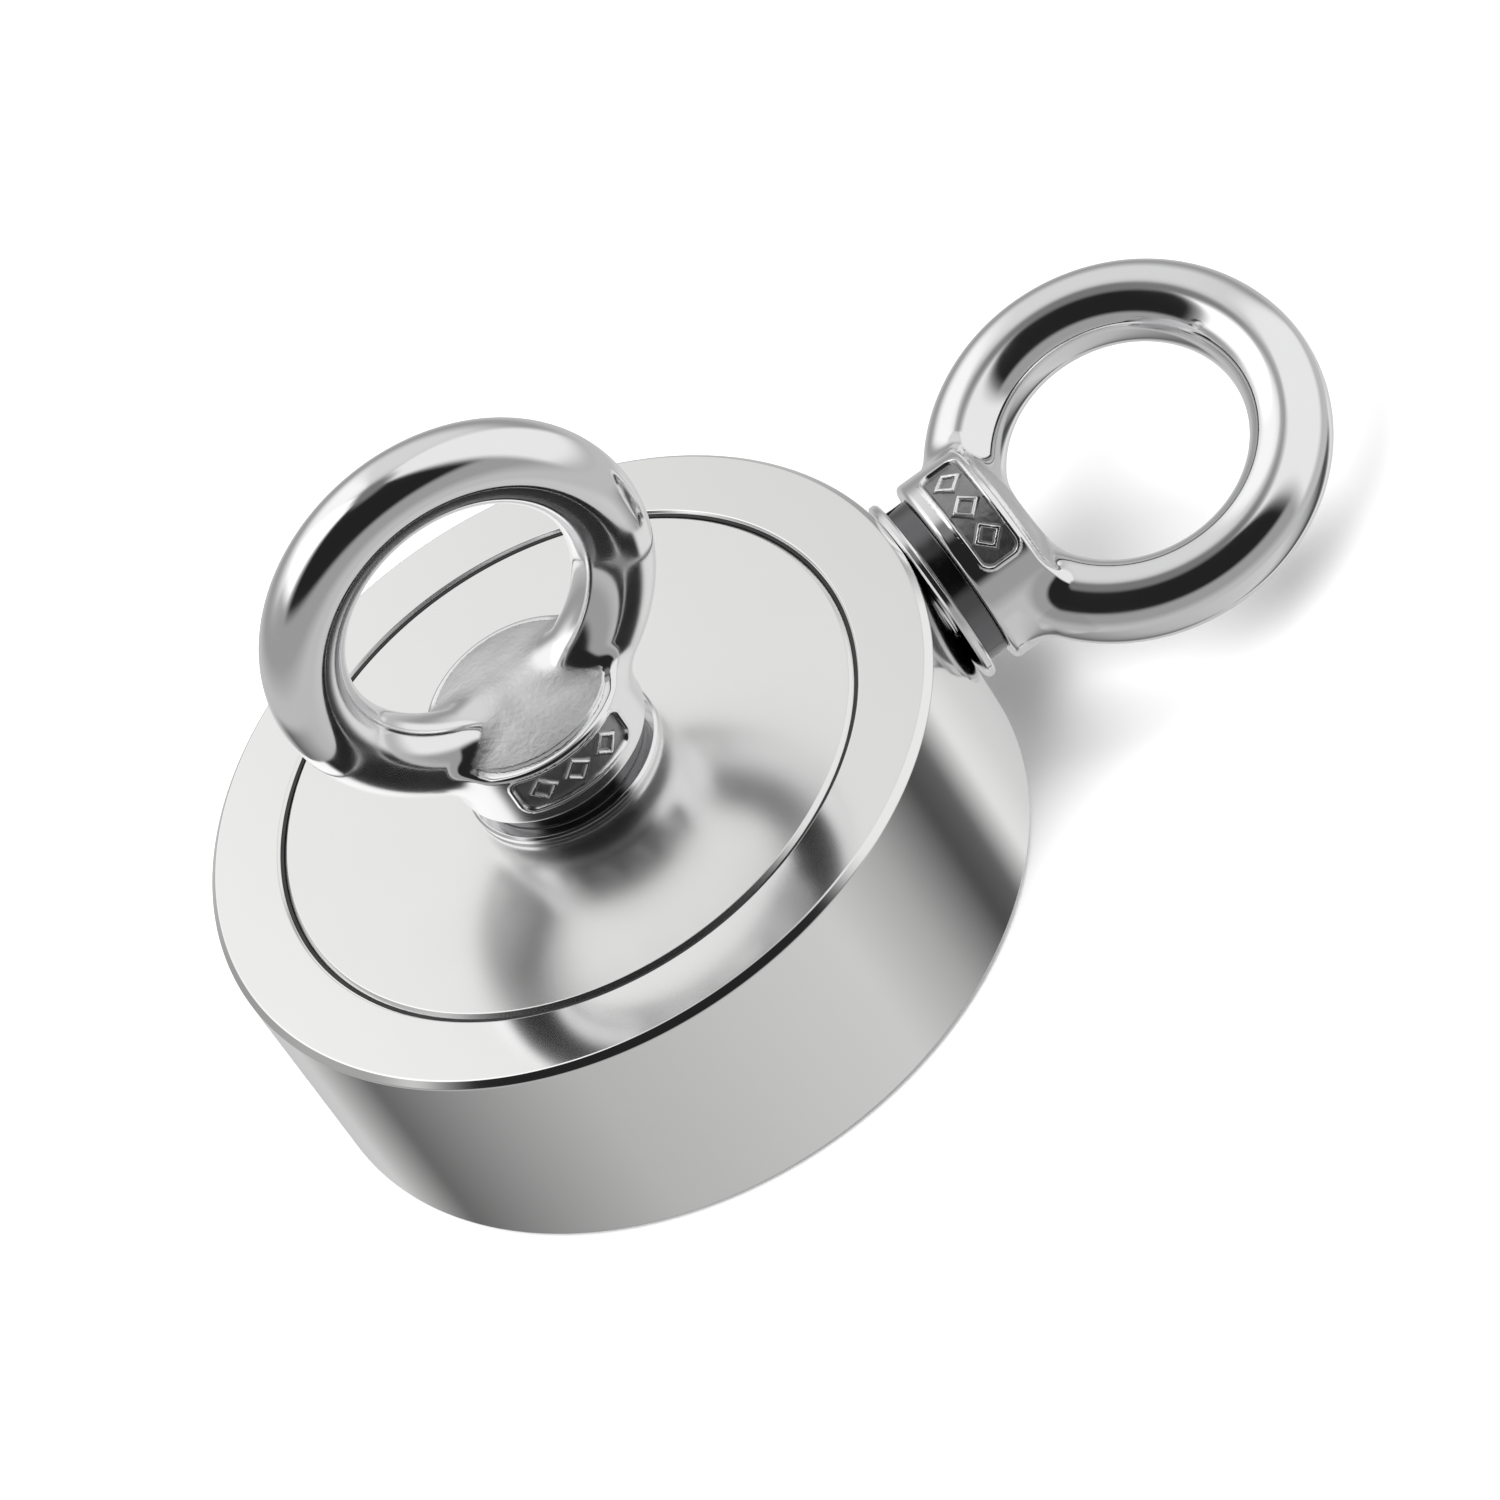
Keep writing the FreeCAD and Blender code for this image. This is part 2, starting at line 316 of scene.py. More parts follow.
def bore_out(ring, radius, start):
    """Cut a round hole along +X from the distance start outwards."""
    count = 96
    angle = np.arange(count) * 2 * math.pi / count
    rim = np.stack([radius * np.cos(angle), SIDE_HEIGHT + radius * np.sin(angle)], axis=1)
    points = [(x, y, z) for x in (start, RADIUS + 10) for y, z in rim]
    faces = [tuple(range(count))[::-1], tuple(range(count, 2 * count))]
    faces += [(i, (i + 1) % count, count + (i + 1) % count, count + i) for i in range(count)]
    mesh = bpy.data.meshes.new("cutter")
    mesh.from_pydata((np.array(points) * MM).tolist(), [], faces)
    cutter = bpy.data.objects.new("cutter", mesh)
    bpy.context.scene.collection.objects.link(cutter)
    cut = ring.modifiers.new("cut", "BOOLEAN")
    cut.operation = "DIFFERENCE"
    cut.solver = "EXACT"
    cut.object = cutter
    depsgraph = bpy.context.evaluated_depsgraph_get()
    ring.data = bpy.data.meshes.new_from_object(ring.evaluated_get(depsgraph))
    ring.modifiers.clear()
    bpy.data.objects.remove(cutter)


def shade_ring(ring, outline, normals):
    """Give the cut ring its exact normals, on the turned surface and in the round hole."""
    mesh = ring.data
    shading = []
    for face in mesh.polygons:
        middle = np.array(face.center) / MM
        flat = np.array(face.normal)
        own = turned_normal(middle, outline, normals)
        for corner in face.vertices:
            place = np.array(mesh.vertices[corner].co) / MM
            if own @ flat > 0.97:
                shading.append(turned_normal(place, outline, normals))
            else:
                inward = np.array([0, -place[Y], SIDE_HEIGHT - place[Z]])
                shading.append(inward / np.linalg.norm(inward))
    mesh.polygons.foreach_set("use_smooth", [True] * len(mesh.polygons))
    mesh.normals_split_custom_set([tuple(n) for n in shading])


def turned_normal(place, outline, normals):
    """The normal of the turned outline nearest to a place."""
    radius = math.hypot(place[X], place[Y])
    after = np.roll(outline, -1, axis=0)
    along = after - outline
    reach = ((np.array([radius, place[Z]]) - outline) * along).sum(axis=1)
    share = np.clip(reach / np.maximum((along ** 2).sum(axis=1), 1e-9), 0, 1)
    gap = np.hypot(*(outline + along * share[:, None] - (radius, place[Z])).T)
    i = int(gap.argmin())
    mixed = normals[i] * (1 - share[i]) + np.roll(normals, -1, axis=0)[i] * share[i]
    mixed = mixed / np.linalg.norm(mixed)
    return np.array([place[X] / radius * mixed[0], place[Y] / radius * mixed[0], mixed[1]])


def make_pole_plates():
    """The two discs, in the bores of the epoxy and round the hub."""
    plates = []
    for node in ("upper_pole_plate", "lower_pole_plate"):
        inner = high("upper_inner_epoxy", X)
        plate = turned_ring(node + "_disc", inner, high(node, X), low(node, Z), high(node, Z),
                            PLATE_CHAMFER)
        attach(plate, "magnet")
        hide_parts(node)
        plates.append(plate)
    return plates


def helix_rows(bottom, top, root, crest, shape):
    """Points of a threaded cylinder, row by row, each row rising one pitch in a turn.

    shape turns a thread radius at a height into the wall's radius there.
    """
    profile = ((0.0, root), (0.25, root), (0.54, crest), (0.71, crest))
    first = math.floor(bottom / THREAD_PITCH) - 2
    last = math.ceil(top / THREAD_PITCH) + 1
    rows = []
    for turn in range(first, last):
        for share, radius in profile:
            row = []
            for j in range(THREAD_COLUMNS + 1):
                angle = 2 * math.pi * j / THREAD_COLUMNS
                height = (turn + share + j / THREAD_COLUMNS) * THREAD_PITCH
                height = min(max(height, bottom), top)
                r = shape(radius, height)
                row.append((r * math.cos(angle), r * math.sin(angle), height))
            rows.append(row)
    return rows


def level_row(radius, height):
    angles = [2 * math.pi * j / THREAD_COLUMNS for j in range(THREAD_COLUMNS + 1)]
    return [(radius * math.cos(a), radius * math.sin(a), height) for a in angles]


def from_rows(name, rows, closed, transform=None):
    """A welded mesh over rows of points; an open one is capped at both ends."""
    points = np.array(rows).reshape(-1, 3)
    if transform is not None:
        points = points @ np.array(transform.to_3x3()).T + np.array(transform.translation)
    columns = len(rows[0])
    faces = grid_faces(len(rows), columns, closed, False)
    if not closed:
        faces.append(tuple(range(columns - 1))[::-1])
        faces.append(tuple(range((len(rows) - 1) * columns, len(rows) * columns - 1)))
    mesh = bpy.data.meshes.new(name)
    mesh.from_pydata((points * MM).tolist(), [], faces)
    item = bpy.data.objects.new(name, mesh)
    bpy.context.scene.collection.objects.link(item)
    weld(mesh)
    return item


def weld(mesh):
    """Join points that coincide, face everything outwards and keep the sharp edges sharp."""
    work = bmesh.new()
    work.from_mesh(mesh)
    bmesh.ops.remove_doubles(work, verts=work.verts, dist=2e-7)
    bmesh.ops.dissolve_degenerate(work, edges=work.edges, dist=1e-7)
    bmesh.ops.recalc_face_normals(work, faces=work.faces)
    for face in work.faces:
        face.smooth = True
    for edge in work.edges:
        edge.smooth = len(edge.link_faces) == 2 and edge.calc_face_angle() < math.radians(28)
    work.to_mesh(mesh)
    work.free()


def make_hub():
    """The threaded hub: outer wall, countersinks and the open lower thread."""
    mouth = THREAD_ROOT + COUNTERSINK

    def shape(radius, height):
        return max(radius, mouth - height)

    rows = [level_row(HOLE_RADIUS + COUNTERSINK, HEIGHT),
            level_row(HUB_RADIUS - HUB_CHAMFER, HEIGHT),
            level_row(HUB_RADIUS, HEIGHT - HUB_CHAMFER),
            level_row(HUB_RADIUS, HUB_CHAMFER),
            level_row(HUB_RADIUS - HUB_CHAMFER, 0)]
    rows += helix_rows(0, STEP_HEIGHT, THREAD_ROOT, THREAD_CREST, shape)
    rows += [level_row(HOLE_RADIUS, STEP_HEIGHT), level_row(HOLE_RADIUS, HEIGHT - COUNTERSINK)]
    hub = from_rows("threaded_hub_steel", rows, True)
    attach(hub, "magnet")
    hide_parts("threaded_hub")
    return hub


# ---------------------------------------------------------------- eyebolts and washers
def panel_edge(across, up):
    """Distance from the edge of the collar's panel, negative inside it."""
    half_length, half_height, corner = 8.2, 2.55, 1.4
    over = np.abs(across) - (half_length - corner)
    above = np.abs(up) - (half_height - corner)
    outside = np.hypot(np.maximum(over, 0), np.maximum(above, 0))
    return outside + np.minimum(np.maximum(over, above), 0) - corner


def panel_relief(across, up):
    """Height of the stamped panel on the collar's side: sunk floor, raised rim and lozenges."""
    edge = panel_edge(across, up)
    floor = -PANEL_DEPTH * step_down(edge, -0.3, 0.0)
    rim = 0.12 * step_down(np.abs(edge - 0.22), 0.08, 0.34)
    spacing, half_width = 4.7, 1.6
    nearest = np.clip(np.round(across / spacing), -1, 1) * spacing
    lozenge = ((np.abs(across - nearest) + np.abs(up)) / half_width - 1) * 1.13
    return floor + rim + 0.42 * step_down(np.abs(lozenge), 0.12, 0.42)


def bar_distance(x, y, z):
    """Distance to the eye's round bar."""
    return np.hypot(np.hypot(x, z - EYE_HEIGHT) - EYE_RADIUS, y) - BAR_RADIUS


def round_the_collar(x, y):
    """Length along the collar's side from the middle of its panel."""
    return np.arctan2(x, -y) * COLLAR_RADIUS


def crown_top(out, off_bar):
    """Height of the collar's domed top, a small step above its edge except close to the bar."""
    dome = CROWN_HEIGHT * np.maximum(1 - (out / CROWN_RADIUS) ** 2, 0)
    raised = np.maximum(step_down(out, CROWN_RADIUS, CROWN_RADIUS + 0.3),
                        step_down(off_bar, 0.5, 3.5))
    return COLLAR_HEIGHT - CROWN_DROP + dome + CROWN_STEP * raised


def eyebolt_field(x, y, z):
    """Distance to a forged eye and collar, seat at z = 0, eye in the XZ plane."""
    bar = bar_distance(x, y, z)
    out = np.hypot(x, y)
    sideways = out - (COLLAR_RADIUS - COLLAR_EDGE)
    upright = np.maximum(z - crown_top(out, bar), -z) + COLLAR_EDGE
    collar = np.hypot(np.maximum(sideways, 0), np.maximum(upright, 0)) - COLLAR_EDGE
    collar = collar + np.minimum(np.maximum(sideways, upright), 0)
    on_side = step_down(np.abs(out - COLLAR_RADIUS), 1.0, 2.5)
    collar = collar - panel_relief(round_the_collar(x, y), z - PANEL_HEIGHT) * on_side
    return smooth_least(bar, collar, FILLET_REACH)


def eyebolt_mesh():
    """The forged part's mesh, finer where the panel is."""
    coarse, fine = 0.42, 0.21
    xs = graded([(-26, coarse), (-9.5, fine), (9.5, coarse), (26, coarse)])
    ys = graded([(-13.5, fine), (-9, coarse), (13.5, coarse)])
    zs = graded([(-1, fine), (10, coarse), (52, coarse)])
    return net_surface(eyebolt_field, xs, ys, zs)


def shank_rows():
    """The threaded shank under the seat, chamfered at its end and plain under the collar."""
    end = -SHANK_LENGTH
    end_radius = THREAD_ROOT - 0.4

    def shape(radius, height):
        tapered = min(radius, end_radius + (height - end))
        return max(tapered, THREAD_ROOT) if height > -1.5 * NECK else tapered

    rows = [level_row(end_radius, end)]
    rows += helix_rows(end, -NECK, THREAD_ROOT, THREAD_CREST, shape)
    rows += [level_row(THREAD_ROOT, -NECK), level_row(THREAD_ROOT, 1.0)]
    return rows


def make_eyebolt(node, body, transform, forged):
    """One eyebolt: its forging, which stands for the CAD solid, and its threaded shank."""
    points, quads, normals = forged
    eye = to_object(node + "_forging", points, quads, normals[quads.ravel()], transform)
    mark_rough_areas(eye, points)
    shank = from_rows(node + "_thread", shank_rows(), False, transform)
    for item in (eye, shank):
        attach(item, body)
    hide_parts(node)
    return eye, shank


def mark_rough_areas(eye, points):
    """Store how matt the forging is at each point: collar top and panel floor."""
    x, y, z = points.T
    out = np.hypot(x, y)
    off_bar = bar_distance(x, y, z)
    near_top = step_down(np.abs(z - crown_top(out, off_bar)), 0.3, 0.9)
    within = step_down(out, CROWN_RADIUS - 0.1, CROWN_RADIUS + 0.2)
    top = near_top * within * (1 - step_down(off_bar, 0.1, 0.7))
    in_outline = step_down(panel_edge(round_the_collar(x, y), z - PANEL_HEIGHT), -0.2, 0.1)
    below_rim = step_down(out, COLLAR_RADIUS - 0.4, COLLAR_RADIUS - 0.15)
    panel = in_outline * below_rim * (out > COLLAR_RADIUS - 2.5)
    for name, amount in (("matt", np.maximum(top, panel)), ("sunk", panel)):
        layer = eye.data.attributes.new(name, "FLOAT", "POINT")
        layer.data.foreach_set("value", amount.astype(np.float32))


def make_spring_washer(node, body, transform, split):
    """A split ring whose two ends lean, flattened under the bolt."""
    inner, outer = SPRING_WASHER_BORE, (high(node, Y) - low(node, Y)) / 2
    thick = SPRING_WASHER_THICK
    gap, lean, steps = 1.3, 0.9, 160
    corners = [(inner, 0), (outer, 0), (outer, thick), (inner, thick)]
    outline, normals = rounded(corners, [0.3] * 4)
    points, shading = [], []
    middle = (inner + outer) / 2
    start = gap / 2 / middle
    for i in range(steps + 1):
        along = start + (2 * math.pi - 2 * start) * i / steps
        for (radius, height), (out, up) in zip(outline, normals):
            slide = lean * (1 - 2 * height / thick) / middle
            angle = along + slide + math.pi / 2 + split
            points.append((radius * math.cos(angle), radius * math.sin(angle), height))
            shading.append((out * math.cos(angle), out * math.sin(angle), up))
    count = len(outline)
    faces = grid_faces(steps + 1, count, False, True)
    corner = [shading[v] for face in faces for v in face]
    for first in (0, steps * count):
        cap = tuple(range(first, first + count))
        a, b, c = (np.array(points[first + k]) for k in (0, count // 3, 2 * count // 3))
        flat = np.cross(b - a, c - a)
        inward = np.array(points[count * (2 if first == 0 else steps - 2)]) - a
        flat = flat / np.linalg.norm(flat)
        flat = -flat if flat @ inward > 0 else flat
        faces.append(cap)
        corner += [tuple(flat)] * count
    washer = to_object(node + "_coil", points, faces, corner, transform)
    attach(washer, body)
    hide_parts(node)
    return washer


def make_flat_washer(node, body, transform, axis):
    outer = (high(node, Y) - low(node, Y)) / 2
    thick = high(node, axis) - low(node, axis)
    washer = turned_ring(node + "_disc", FLAT_WASHER_BORE, outer, 0, thick, 0.3, transform)
    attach(washer, body)
    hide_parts(node)
    return washer


def face_place(height):
    """Local Z stays up, with the eye's plane turned a little."""
    return Matrix.Translation((0, 0, height)) @ Matrix.Rotation(FACE_TURN, 4, "Z")


def side_place(distance):
    """Local Z along +X, with the eye's plane tilted from the level."""
    across = Vector((0, -math.cos(SIDE_TILT), -math.sin(SIDE_TILT)))
    outward = Vector((1, 0, 0))
    turn = Matrix((across, outward.cross(across), outward)).transposed().to_4x4()
    return Matrix.Translation((distance, 0, SIDE_HEIGHT)) @ turn


def make_bolt_sets():
    """Both bolts with their washers: the polished pieces, and the spring washers."""
    forged = eyebolt_mesh()
    pieces = [*make_eyebolt("face_eyebolt", "face_bolt", face_place(FACE_SEAT), forged),
              *make_eyebolt("side_eyebolt", "side_bolt", side_place(SIDE_SEAT), forged)]
    coils = [make_spring_washer("face_spring_washer", "face_washers",
                                face_place(low("face_spring_washer", Z)), 0.0),
             make_spring_washer("side_spring_washer", "side_washers",
                                side_place(low("side_spring_washer", X)), SIDE_SPLIT)]
    pieces.append(make_flat_washer("face_flat_washer", "face_washers", face_place(HEIGHT), Z))
    pieces.append(make_flat_washer("side_flat_washer", "side_washers", side_place(WALL), X))
    return pieces, coils


# ---------------------------------------------------------------- materials
def new_material(name, colour, metallic, roughness):
    material = bpy.data.materials.new(name)
    material.use_nodes = True
    shader = material.node_tree.nodes["Principled BSDF"]
    shader.inputs["Base Color"].default_value = (*colour, 1)
    shader.inputs["Metallic"].default_value = metallic
    shader.inputs["Roughness"].default_value = roughness
    return material, shader


def add_node(material, kind, **settings):
    node = material.node_tree.nodes.new(kind)
    for name, value in settings.items():
        setattr(node, name, value)
    return node


def join(material, source, target):
    material.node_tree.links.new(source, target)


def noise(material, scale, detail=3.0, stretch=None):
    """Noise over the object's own coordinates, in metres."""
    place = add_node(material, "ShaderNodeTexCoord")
    texture = add_node(material, "ShaderNodeTexNoise")
    texture.inputs["Scale"].default_value = scale
    texture.inputs["Detail"].default_value = detail
    source = place.outputs["Object"]
    if stretch:
        mapping = add_node(material, "ShaderNodeMapping")
        mapping.inputs["Scale"].default_value = stretch
        join(material, source, mapping.inputs["Vector"])
        source = mapping.outputs["Vector"]
    join(material, source, texture.inputs["Vector"])
    return texture.outputs["Fac"]


def between(material, source, low_value, high_value, start=0.3, end=0.7):
    """A number that runs from low_value to high_value as the source does from start to end."""
    node = add_node(material, "ShaderNodeMapRange")
    for name, value in (("From Min", start), ("From Max", end),
                        ("To Min", low_value), ("To Max", high_value)):
        node.inputs[name].default_value = value
    join(material, source, node.inputs["Value"])
    return node.outputs["Result"]


def mix_colours(material, factor, first, second):
    """Between two colours, each given as numbers or as another node's output."""
    node = add_node(material, "ShaderNodeMix", data_type="RGBA")
    for socket, colour in ((node.inputs[6], first), (node.inputs[7], second)):
        if isinstance(colour, tuple):
            socket.default_value = (*colour, 1)
        else:
            join(material, colour, socket)
    join(material, factor, node.inputs[0])
    return node.outputs[2]


def mix_numbers(material, factor, first, second):
    node = add_node(material, "ShaderNodeMix", data_type="FLOAT")
    join(material, factor, node.inputs[0])
    join(material, first, node.inputs[2])
    join(material, second, node.inputs[3])
    return node.outputs[0]


def bump(material, shader, source, strength, distance):
    node = add_node(material, "ShaderNodeBump")
    node.inputs["Strength"].default_value = strength
    node.inputs["Distance"].default_value = distance
    join(material, source, node.inputs["Height"])
    join(material, node.outputs["Normal"], shader.inputs["Normal"])


def nickel_plate(name, roughness):
    """Bright nickel over turned steel: soft gloss with a faint cloudiness."""
    material, shader = new_material(name, (0.88, 0.878, 0.872), 1.0, roughness)
    cloud = between(material, noise(material, 60.0), roughness * 0.85, roughness * 1.15, 0.2, 0.8)
    join(material, cloud, shader.inputs["Roughness"])
    tint = mix_colours(material, noise(material, 25.0), (0.87, 0.868, 0.86), (0.91, 0.908, 0.905))
    join(material, tint, shader.inputs["Base Color"])
    return material


def polished_steel():
    """Polished stainless steel, matt and grained where the forging was left as struck."""
    polished, scaled, floor = (0.88, 0.88, 0.885), (0.62, 0.62, 0.63), (0.33, 0.33, 0.335)
    material, shader = new_material("polished_stainless", polished, 1.0, 0.1)
    matt = add_node(material, "ShaderNodeAttribute", attribute_name="matt").outputs["Fac"]
    sunk = add_node(material, "ShaderNodeAttribute", attribute_name="sunk").outputs["Fac"]
    gloss = between(material, noise(material, 120.0), 0.05, 0.13)
    dull = between(material, noise(material, 350.0), 0.34, 0.5)
    join(material, mix_numbers(material, matt, gloss, dull), shader.inputs["Roughness"])
    cloudy = mix_colours(material, noise(material, 260.0, 5.0), scaled, (0.86, 0.86, 0.865))
    top = mix_colours(material, matt, polished, cloudy)
    join(material, mix_colours(material, sunk, top, floor), shader.inputs["Base Color"])
    grain = add_node(material, "ShaderNodeMath", operation="MULTIPLY")
    join(material, noise(material, 1500.0, 5.0), grain.inputs[0])
    join(material, matt, grain.inputs[1])
    bump(material, shader, grain.outputs[0], 0.6, 0.00012)
    return material


def spring_steel():
    """Dark tempered steel with a thin film of oil; its darkness is partly painted shade, the black
    recess under the eyebolt's collar.
    """
    material, shader = new_material("spring_steel", (0.17, 0.17, 0.175), 1.0, 0.2)
    join(material, between(material, noise(material, 500.0), 0.12, 0.22), shader.inputs["Roughness"])
    return material


def black_epoxy():
    """Cast potting: black, satin and slightly pitted."""
    material, shader = new_material("black_epoxy", (0.012, 0.012, 0.013), 0.0, 0.4)
    join(material, between(material, noise(material, 300.0), 0.3, 0.55), shader.inputs["Roughness"])
    bump(material, shader, noise(material, 900.0), 0.25, 0.0001)
    return material


def machined_steel():
    """Turned steel with streaks from the cutter."""
    material, shader = new_material("machined_steel", (0.5, 0.5, 0.51), 1.0, 0.35)
    join(material, between(material, noise(material, 400.0, 2.0, (1, 1, 12)), 0.28, 0.45),
         shader.inputs["Roughness"])
    return material


def sintered_magnet():
    """Pressed and sintered magnet alloy under a thin grey coat."""
    material, shader = new_material("sintered_magnet", (0.6, 0.6, 0.6), 1.0, 0.4)
    join(material, between(material, noise(material, 800.0), 0.3, 0.5), shader.inputs["Roughness"])
    return material


def paint(item, material):
    item.data.materials.clear()
    item.data.materials.append(material)


def paint_node(node, material):
    """A better material in a CAD node's own slots."""
    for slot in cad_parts[node].material_slots:
        slot.material = material


# ---------------------------------------------------------------- studio
def make_floor():
    """A pale table top. The metal mirrors the studio instead of it."""
    side, gap = 6.0, 0.00002
    mesh = bpy.data.meshes.new("floor")
    mesh.from_pydata([(-side, -side, 0), (side, -side, 0), (side, side, 0), (-side, side, 0)],
                     [], [(0, 1, 2, 3)])
    floor = bpy.data.objects.new("floor", mesh)
    bpy.context.scene.collection.objects.link(floor)
    floor.location.z = -gap
    floor.data.materials.append(new_material("floor_paper", (0.93, 0.93, 0.93), 0.0, 0.9)[0])
    floor.visible_glossy = False


def make_lights():
    """Two large lamps for the floor and its shadows. The metal doesn't mirror them."""
    for name, place, size, power in (("key", (-0.5, -0.35, 0.9), 0.7, 9.0),
                                     ("fill", (0.6, 0.3, 0.8), 0.6, 4.0)):
        light = bpy.data.lights.new(name, "AREA")
        light.shape = "DISK"
        light.size = size
        light.energy = power
        lamp = bpy.data.objects.new(name, light)
        lamp.location = place
        lamp.rotation_mode = "QUATERNION"
        lamp.rotation_quaternion = (-Vector(place)).to_track_quat("-Z", "Y")
        lamp.visible_glossy = False
        bpy.context.scene.collection.objects.link(lamp)


def ramp(tree, stops, source):
    """A colour ramp of grey stops given as (place, brightness)."""
    node = tree.nodes.new("ShaderNodeValToRGB")
    band = node.color_ramp
    while len(band.elements) < len(stops):
        band.elements.new(0.5)
    for element, (place, grey) in zip(band.elements, stops):
        element.position = place
        element.color = (grey, grey, grey, 1)
    tree.links.new(source, node.inputs["Fac"])
    return node.outputs["Color"]


def smooth_mask(tree, source, full, none):
    """1 where the source is at full, 0 where it is at none, smooth between."""
    node = tree.nodes.new("ShaderNodeMapRange")
    node.interpolation_type = "SMOOTHSTEP"
    node.inputs["From Min"].default_value = none
    node.inputs["From Max"].default_value = full
    tree.links.new(source, node.inputs["Value"])
    return node.outputs["Result"]


def share_between(tree, source, start, end):
    """0 where the source is at start, 1 where it is at end."""
    node = tree.nodes.new("ShaderNodeMapRange")
    node.inputs["From Min"].default_value = start
    node.inputs["From Max"].default_value = end
    tree.links.new(source, node.inputs["Value"])
    return node.outputs["Result"]


def calculate(tree, operation, first, second):
    node = tree.nodes.new("ShaderNodeMath")
    node.operation = operation
    tree.links.new(first, node.inputs[0])
    if isinstance(second, float):
        node.inputs[1].default_value = second
    else:
        tree.links.new(second, node.inputs[1])
    return node.outputs[0]


def blend(tree, mask, under, over):
    """over laid on under by the mask; over may be one brightness."""
    node = tree.nodes.new("ShaderNodeMix")
    node.data_type = "RGBA"
    tree.links.new(mask, node.inputs[0])
    tree.links.new(under, node.inputs[6])
    if isinstance(over, float):
        node.inputs[7].default_value = (over, over, over, 1)
    else:
        tree.links.new(over, node.inputs[7])
    return node.outputs[2]


def panel_mask(tree, heading, height, where, size, soft):
    """A soft-edged rectangle of the studio, in degrees of heading and height."""
    wrap = tree.nodes.new("ShaderNodeMath")
    wrap.operation = "WRAP"
    wrap.inputs[1].default_value = 180.0
    wrap.inputs[2].default_value = -180.0
    tree.links.new(calculate(tree, "SUBTRACT", heading, float(where[0])), wrap.inputs[0])
    masks = []
    for source, half, edge in ((wrap.outputs[0], size[0], soft[0]),
                               (calculate(tree, "SUBTRACT", height, float(where[1])), size[1], soft[1])):
        away = tree.nodes.new("ShaderNodeMath")
        away.operation = "ABSOLUTE"
        tree.links.new(source, away.inputs[0])
        masks.append(smooth_mask(tree, away.outputs[0], half - edge / 2, half + edge / 2))
    return calculate(tree, "MULTIPLY", *masks)


# Cards and boxes round the object: heading from the front (0) towards the side bolt (+90) and
# height in degrees, half sizes, soft edges, brightness
PANELS = (
    ((180, 45), (62, 30), (50, 30), 0.74),
    ((-150, 48), (30, 26), (14, 30), 1.05),
    ((-20, 57), (62, 38), (14, 12), 0.018),
    ((-118, 55), (29, 28), (10, 14), 1.25),
    ((86, 34), (38, 46), (14, 16), 0.90),
    ((0, 92), (200, 14), (10, 12), 0.20),
)


# The tent by height, from straight down (0) to straight up (1)
RISING = ((0.0, 0.55), (0.38, 0.55), (0.47, 0.36), (0.60, 0.36), (0.75, 0.5), (1.0, 0.5))
# Low down, the tent by heading: from behind (0) by the left (0.25), the front (0.5) and
# the side bolt (0.75) to behind again (1)
AROUND = ((0.0, 0.55), (0.08, 0.64), (0.165, 0.14), (0.25, 0.30), (0.36, 0.5), (0.5, 0.60),
          (0.60, 0.66), (0.67, 0.42), (0.735, 0.07), (0.77, 0.12), (0.81, 0.85), (0.86, 0.7),
          (1.0, 0.55))


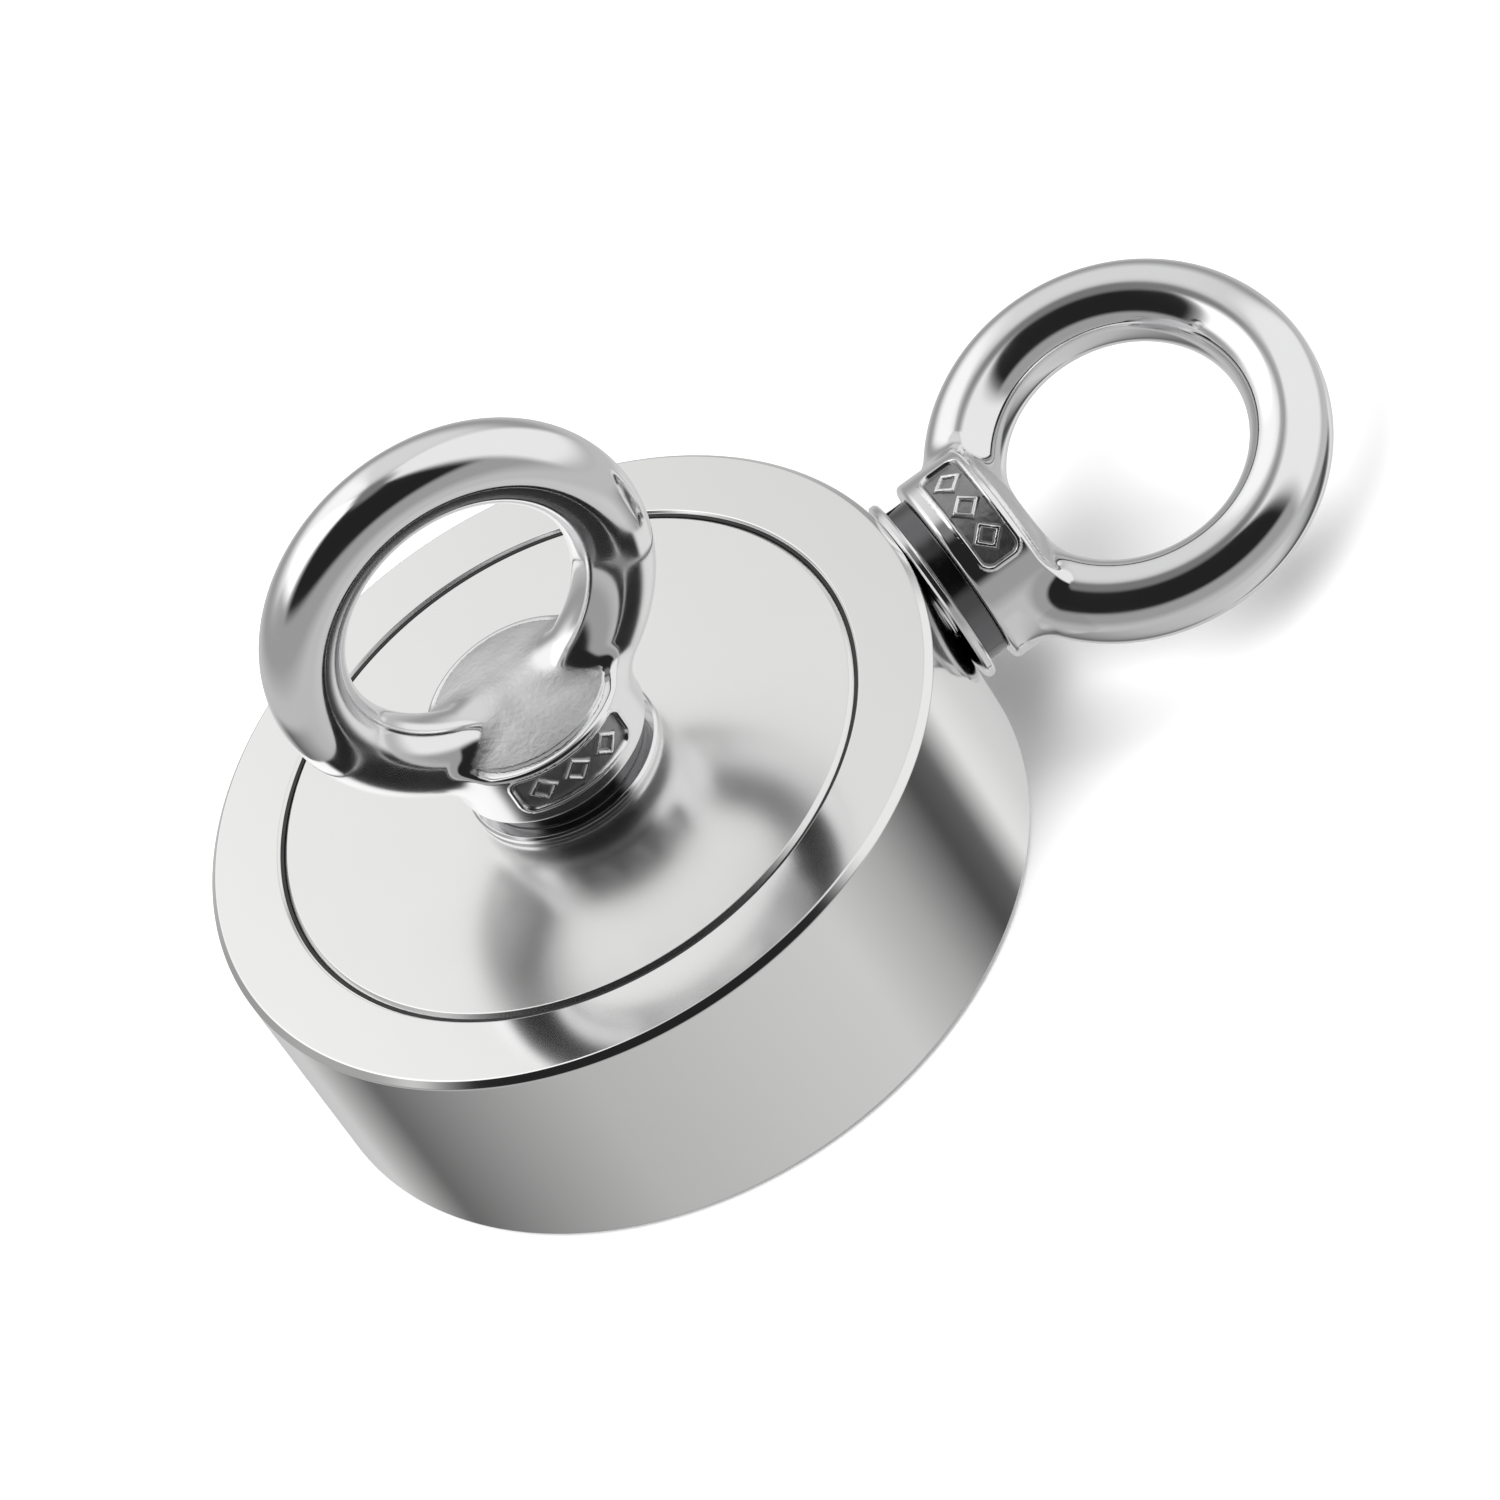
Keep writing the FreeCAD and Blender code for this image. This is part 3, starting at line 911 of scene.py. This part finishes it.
def make_world():
    """A pale tent with a dark card in front and a soft box on each side for the metal to mirror."""
    world = bpy.data.worlds.new("studio")
    bpy.context.scene.world = world
    world.use_nodes = True
    tree = world.node_tree
    nodes, link = tree.nodes, tree.links.new
    place = nodes.new("ShaderNodeTexCoord")
    parts = nodes.new("ShaderNodeSeparateXYZ")
    link(place.outputs["Generated"], parts.inputs[0])
    rise = nodes.new("ShaderNodeMath")
    rise.operation = "ARCSINE"
    link(parts.outputs["Z"], rise.inputs[0])
    height = calculate(tree, "MULTIPLY", rise.outputs[0], 180 / math.pi)
    front = calculate(tree, "MULTIPLY", parts.outputs["Y"], -1.0)
    turn = calculate(tree, "ARCTAN2", parts.outputs["X"], front)
    heading = calculate(tree, "MULTIPLY", turn, 180 / math.pi)
    rising = ramp(tree, RISING, share_between(tree, height, -90.0, 90.0))
    around = ramp(tree, AROUND, share_between(tree, heading, -180.0, 180.0))
    colour = blend(tree, smooth_mask(tree, height, -38.0, -30.0), rising, around)
    for where, size, soft, brightness in PANELS:
        colour = blend(tree, panel_mask(tree, heading, height, where, size, soft), colour, brightness)
    seen = nodes.new("ShaderNodeLightPath")
    for ray, brightness in (("Is Diffuse Ray", 0.85), ("Is Camera Ray", 0.9)):
        colour = blend(tree, seen.outputs[ray], colour, brightness)
    link(colour, nodes["Background"].inputs["Color"])


def make_camera():
    """The photograph's view: from the front, above, and rolled so that the side bolt points up."""
    azimuth, elevation, roll = math.radians(-2.69), math.radians(43.58), math.radians(34.0)
    target, distance, lens = Vector((18.9, -0.7, 15.5)), 1104.7, 221.8
    ahead = Vector((-math.sin(azimuth) * math.cos(elevation),
                    math.cos(azimuth) * math.cos(elevation), -math.sin(elevation)))
    level = Vector((math.cos(azimuth), math.sin(azimuth), 0))
    down = ahead.cross(level)
    right = level * math.cos(roll) + down * math.sin(roll)
    up = right.cross(ahead)
    data = bpy.data.cameras.new("camera")
    data.lens = lens
    data.sensor_width = 36.0
    camera = bpy.data.objects.new("camera", data)
    turn = Matrix((right, up, -ahead)).transposed().to_4x4()
    camera.matrix_world = Matrix.Translation((target - ahead * distance) * MM) @ turn
    bpy.context.scene.collection.objects.link(camera)
    bpy.context.scene.camera = camera


# ---------------------------------------------------------------- the scene
make_camera()
bright, satin = nickel_plate("bright_nickel", 0.11), nickel_plate("satin_nickel", 0.23)
stainless, epoxy = polished_steel(), black_epoxy()
paint(make_outer_ring(), bright)
for item in (*make_pole_plates(), make_hub()):
    paint(item, satin)
polished, coils = make_bolt_sets()
for item in polished:
    paint(item, stainless)
# The spring washers' dark colour is partly painted shade, for the recess under each collar.
spring, alloy = spring_steel(), sintered_magnet()
for item in coils:
    paint(item, spring)
for side in ("upper", "lower"):
    paint_node(f"{side}_outer_epoxy", epoxy)
    paint_node(f"{side}_inner_epoxy", epoxy)
    paint_node(f"{side}_magnet", alloy)
paint_node("core_disc", machined_steel())
make_floor()
make_lights()
make_world()
bpy.context.scene.view_settings.view_transform = "Standard"
